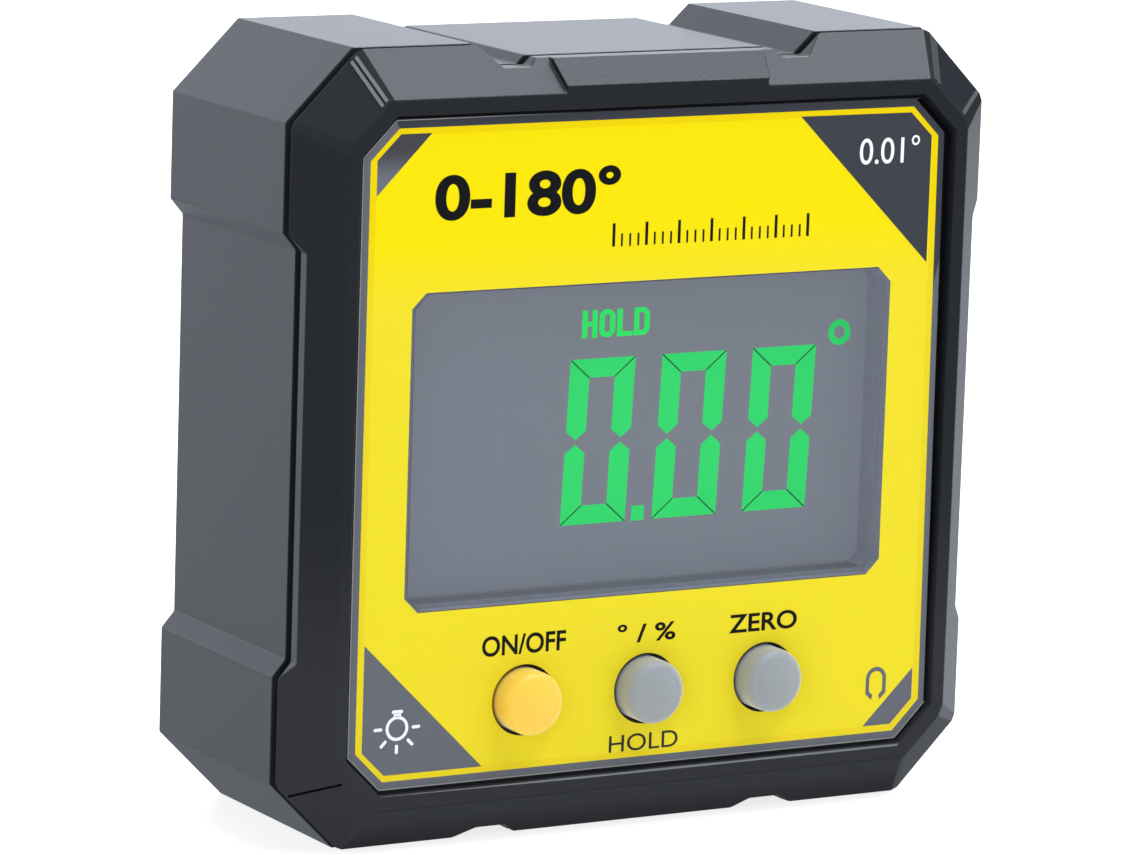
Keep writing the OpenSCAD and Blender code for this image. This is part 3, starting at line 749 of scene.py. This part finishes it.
def hold_word():
    """The narrow letters of the small word over the noughts."""
    z0, z1 = HOLD_Z0, HOLD_Z1
    low = (z0 + z1 - HOLD_BAR) / 2
    high = (z0 + z1 + HOLD_BAR) / 2
    (h0, h1), (o0, o1), (l0, l1), (d0, d1) = HOLD_X
    h_left, h_right = h0 + HOLD_STEM, h1 - HOLD_STEM
    l_left = l0 + HOLD_STEM
    letter_h = [(h0, z0), (h_left, z0), (h_left, low), (h_right, low), (h_right, z0), (h1, z0),
                (h1, z1), (h_right, z1), (h_right, high), (h_left, high), (h_left, z1), (h0, z1)]
    letter_l = [(l0, z0), (l1, z0), (l1, z0 + HOLD_BAR), (l_left, z0 + HOLD_BAR), (l_left, z1), (l0, z1)]
    bend = HOLD_ROUND - HOLD_BAR
    rounds = []
    for x0, x1, left, inner_left in ((o0, o1, HOLD_ROUND, bend), (d0, d1, 0, 0)):
        rounds.append(round_box(x0, x1, z0, z1, left, HOLD_ROUND))
        inside = (x0 + HOLD_STEM, x1 - HOLD_STEM, z0 + HOLD_BAR, z1 - HOLD_BAR)
        rounds.append(round_box(*inside, inner_left, bend))
    return [letter_h, letter_l] + rounds


printed("display_hold", hold_word(), glow_plane, lit_word, GLOW_THICK)

VIEW_HALF = 20.4
VIEW_LOW = 18.55
VIEW_ROUND = 1.2
VIEW_STEPS = 10
SHADE_INSETS = (0.004, 0.016)
SHADE_PART = slice(3, -8)
SHADE_NEAR = 0.03
SHADE_FAR = 1.7
EDGE_SHADE_HIGH = 0.2


def view_edge(lift, inset=0.0):
    """The lower edge of the display's opening with its round corners, moved up and inwards."""
    left = arc(VIEW_ROUND - VIEW_HALF, VIEW_LOW + VIEW_ROUND + lift, VIEW_ROUND - inset, 180, 90, VIEW_STEPS)
    return left + [(-x, z) for x, z in reversed(left)]


def ribbon(name, edges, depths, material):
    """Thin strip between two edges of (x, z) in millimetres and two depths in metres."""
    count = len(edges[0])
    rails = [(edges[0], depths[0]), (edges[1], depths[0]), (edges[1], depths[1]), (edges[0], depths[1])]
    verts = [(x * MM, depth, z * MM) for edge, depth in rails for x, z in edge]
    faces = [(0, count, 2 * count, 3 * count), tuple(count - 1 + k * count for k in range(4))]
    for k in range(4):
        here = k * count
        after = (k + 1) % 4 * count
        faces += [(here + i, here + i + 1, after + i + 1, after + i) for i in range(count - 1)]
    piece = add_mesh(name, verts, faces, material)
    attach(piece, "case")


ribbon("collar_shade", [view_edge(0.0, inset)[SHADE_PART] for inset in SHADE_INSETS],
       (display_face - SHADE_NEAR * MM, display_face - SHADE_FAR * MM), collar_shade)
# Dark strip along the lower edge of the display: painted shade.
edge_shade = view_edge(0.0) + view_edge(EDGE_SHADE_HIGH)[::-1]
printed("display_painted_shade", [edge_shade], glow_plane, display_painted_shade, GLOW_THICK)

KEY_NAMES = ("power", "mode", "zero")
KEY_SIDES = 96
KEY_STEPS = 8
KEY_DOME = 0.3
KEY_ROUND = 0.75
KEY_CAP_R = 2.45
KEY_FLANGE = 0.8


def key_profile(node):
    """Half section (radius, depth) of a key, from the middle of its front to its flange."""
    low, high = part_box(node)
    flange_r = (high.x - low.x) / 2
    cap_r = KEY_CAP_R * MM
    round_r = KEY_ROUND * MM
    flat = cap_r - round_r
    rim = low.y + KEY_DOME * MM
    shares = [i / KEY_STEPS for i in range(KEY_STEPS + 1)]
    points = [(flat * share, low.y + KEY_DOME * MM * share ** 2) for share in shares]
    for share in shares[1:]:
        turn = math.pi / 2 * share
        points.append((flat + round_r * math.sin(turn), rim + round_r * (1 - math.cos(turn))))
    shoulder = high.y - KEY_FLANGE * MM
    return points + [(cap_r, shoulder), (flange_r, shoulder), (flange_r, high.y), (0, high.y)]


def lathe(name, profile, x, z, material):
    """Solid turned about an axis from front to back."""
    verts = []
    faces = []
    for radius, depth in profile:
        for k in range(KEY_SIDES):
            turn = 2 * math.pi * k / KEY_SIDES
            verts.append((x + radius * math.cos(turn), depth, z + radius * math.sin(turn)))
    for i in range(len(profile) - 1):
        for k in range(KEY_SIDES):
            a = i * KEY_SIDES + k
            b = i * KEY_SIDES + (k + 1) % KEY_SIDES
            faces.append((a, b, b + KEY_SIDES, a + KEY_SIDES))
    piece = add_mesh(name, verts, faces, material)
    smooth(piece.data)
    weld_points(piece)
    split_edges(piece, TURNED_ANGLE)
    return piece


for name, x in zip(KEY_NAMES, KEY_X):
    node = name + "_button"
    finish = key_amber if name == "power" else key_grey
    piece = lathe(name + "_cap", key_profile(node), x * MM, KEY_Z * MM, finish)
    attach(piece, name + "_key")
    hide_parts(node)

BAND_LENGTH = 11.0
BAND_OFFSET = 1.6
BAND_RISE = 0.012
BAND_THICK = 0.05
BAND_SIDES = 64


def sleeve(name, x0, x1, centre, radius, material):
    """Thin ring round a cell, between two places along X."""
    verts = []
    faces = []
    inner = radius - BAND_THICK * MM
    for x, r in ((x0, radius), (x1, radius), (x1, inner), (x0, inner)):
        for k in range(BAND_SIDES):
            turn = 2 * math.pi * k / BAND_SIDES
            verts.append((x, centre.y + r * math.cos(turn), centre.z + r * math.sin(turn)))
    for i in range(4):
        here = i * BAND_SIDES
        after = (i + 1) % 4 * BAND_SIDES
        for k in range(BAND_SIDES):
            beside = (k + 1) % BAND_SIDES
            faces.append((here + k, after + k, after + beside, here + beside))
    piece = add_mesh(name, verts, faces, material)
    smooth(piece.data)
    split_edges(piece, TURNED_ANGLE)
    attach(piece, "case")


for node, way in (("battery_upper", 1), ("battery_lower", -1)):
    low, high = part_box(node)
    radius = (high.z - low.z) / 2 + BAND_RISE * MM
    start = (high.x if way > 0 else low.x) - way * BAND_OFFSET * MM
    x0, x1 = sorted((start, start - way * BAND_LENGTH * MM))
    sleeve(node + "_band", x0, x1, (low + high) / 2, radius, cell_band)
    refinish(node, nickel, lambda centre, normal: abs(normal.x) > LEANS)

FLOOR_SIZE = 6.0
FLOOR_GLOW = 0.8


def sheet(name, wide, high, material):
    """Flat rectangle about the origin."""
    x = wide / 2
    y = high / 2
    return add_mesh(name, [(-x, -y, 0), (x, -y, 0), (x, y, 0), (-x, y, 0)], [(0, 1, 2, 3)], material)


floor_white = glowing("floor_white", (1, 1, 1, 1), FLOOR_GLOW)
shader_of(floor_white).inputs["Base Color"].default_value = (0.45, 0.45, 0.45, 1)
floor = sheet("floor", FLOOR_SIZE, FLOOR_SIZE, floor_white)
floor.visible_glossy = False


def point_at(obj, place, aim):
    """Sets an object at a place, facing another place."""
    obj.location = place
    obj.rotation_euler = (Vector(aim) - Vector(place)).to_track_quat("-Z", "Y").to_euler()


def softbox(name, place, aim, wide, high, radiance, mirrored=True, tint=(1.0, 1.0, 1.0)):
    """Square lamp of a given brightness."""
    light = bpy.data.lights.new(name, "AREA")
    light.shape = "RECTANGLE"
    light.size = wide
    light.size_y = high
    light.energy = radiance * math.pi * wide * high
    light.color = tint
    obj = link(bpy.data.objects.new(name, light))
    point_at(obj, place, aim)
    obj.visible_camera = False
    obj.visible_glossy = mirrored


def flag(name, place, aim, wide, high):
    """Black card that only shows as a dark field in the gloss of the case."""
    card = sheet(name, wide, high, surface(name, (0.004, 0.004, 0.004, 1), 0.9, specular=0.0))
    point_at(card, place, aim)
    card.visible_camera = False
    card.visible_diffuse = False
    card.visible_transmission = False
    card.visible_shadow = False


MIDDLE = (0, 0, 0.03)
COOL = (0.94, 1.0, 1.1)
flag("flag_right", (0.355, 0.08, 0.135), (0.027, -0.0095, 0.057), 0.28, 0.25)
softbox("overhead", (0.34, -0.18, 0.75), (0.34, -0.18, 0), 0.9, 0.6, 3.7, tint=COOL)
softbox("crown", (0.016, -0.315, 0.571), (-0.024, -0.01, 0.057), 0.1, 0.1, 14.0, tint=COOL)
softbox("rim", (0.4, 0.36, 0.64), (0, 0, 0.06), 0.15, 0.15, 25.0)
softbox("front_left", (-0.78, -0.6, 0.42), MIDDLE, 0.6, 0.5, 3.75, mirrored=False)
softbox("front_right", (0.6, -0.7, 0.45), MIDDLE, 0.5, 0.5, 1.9, mirrored=False)

SKY_STEPS = ((-1.0, 0.26), (-0.5, 0.37), (-0.2, 1.04), (0.0, 1.4), (0.18, 1.94), (0.5, 1.2), (1.0, 0.6))
SKY_TINT = (0.94, 1.0, 1.11)
SKY_TOP = 2.0
SKY_LEAN = 0.3
SKY_FADE = (-0.35, 0.55)
SKY_FRONT = 0.05

world = bpy.data.worlds.new("studio")
bpy.context.scene.world = world
world.use_nodes = True
tree = world.node_tree
tree.nodes.clear()
output = tree.nodes.new("ShaderNodeOutputWorld")
mix = tree.nodes.new("ShaderNodeMixShader")
backdrop = tree.nodes.new("ShaderNodeBackground")
backdrop.inputs["Color"].default_value = (1, 1, 1, 1)
backdrop.inputs["Strength"].default_value = 1.0
studio = tree.nodes.new("ShaderNodeBackground")
path = tree.nodes.new("ShaderNodeLightPath")
coords = tree.nodes.new("ShaderNodeTexCoord")
split = tree.nodes.new("ShaderNodeSeparateXYZ")
lean = tree.nodes.new("ShaderNodeMath")
lean.operation = "MULTIPLY_ADD"
lean.inputs[1].default_value = SKY_LEAN
behind = tree.nodes.new("ShaderNodeMapRange")
behind.interpolation_type = "SMOOTHSTEP"
behind.inputs["From Min"].default_value = SKY_FADE[0]
behind.inputs["From Max"].default_value = SKY_FADE[1]
behind.inputs["To Min"].default_value = SKY_FRONT
behind.inputs["To Max"].default_value = 1.0
product = tree.nodes.new("ShaderNodeMath")
product.operation = "MULTIPLY"
product.inputs[1].default_value = SKY_TOP
lift = tree.nodes.new("ShaderNodeMapRange")
lift.inputs["From Min"].default_value = -1.0
lift.inputs["From Max"].default_value = 1.0
height = tree.nodes.new("ShaderNodeValToRGB")
steps = height.color_ramp.elements
while len(steps) < len(SKY_STEPS):
    steps.new(0.5)
for step, (sine, level) in zip(steps, SKY_STEPS):
    step.position = (sine + 1) / 2
for step, (sine, level) in zip(steps, SKY_STEPS):
    step.color = (*[level / SKY_TOP * tint for tint in SKY_TINT], 1)
tree.links.new(coords.outputs["Generated"], split.inputs["Vector"])
tree.links.new(split.outputs["X"], lean.inputs[0])
tree.links.new(split.outputs["Y"], lean.inputs[2])
tree.links.new(lean.outputs["Value"], behind.inputs["Value"])
tree.links.new(behind.outputs["Result"], product.inputs[0])
tree.links.new(product.outputs["Value"], studio.inputs["Strength"])
tree.links.new(split.outputs["Z"], lift.inputs["Value"])
tree.links.new(lift.outputs["Result"], height.inputs["Fac"])
tree.links.new(height.outputs["Color"], studio.inputs["Color"])
tree.links.new(path.outputs["Is Camera Ray"], mix.inputs["Fac"])
tree.links.new(studio.outputs["Background"], mix.inputs[1])
tree.links.new(backdrop.outputs["Background"], mix.inputs[2])
tree.links.new(mix.outputs["Shader"], output.inputs["Surface"])

CAMERA_RIGHT = Vector((0.8668, -0.4975, 0.0323))
CAMERA_UP = Vector((0.0617, 0.1714, 0.9833))
CAMERA_BACK = Vector((-0.4948, -0.8503, 0.1793))
CAMERA_PLACE = (-0.23584, -0.40351, 0.11419)
camera_data = bpy.data.cameras.new("camera")
camera_data.lens = 195.8
camera_data.sensor_width = 36.0
camera_data.clip_start = 0.01
camera_data.clip_end = 20.0
camera = link(bpy.data.objects.new("camera", camera_data))
turned = Matrix((CAMERA_RIGHT, CAMERA_UP, CAMERA_BACK)).transposed().to_4x4()
camera.matrix_world = Matrix.Translation(CAMERA_PLACE) @ turned
bpy.context.scene.camera = camera

bpy.context.scene.view_settings.view_transform = "Standard"
bpy.context.scene.view_settings.look = "None"
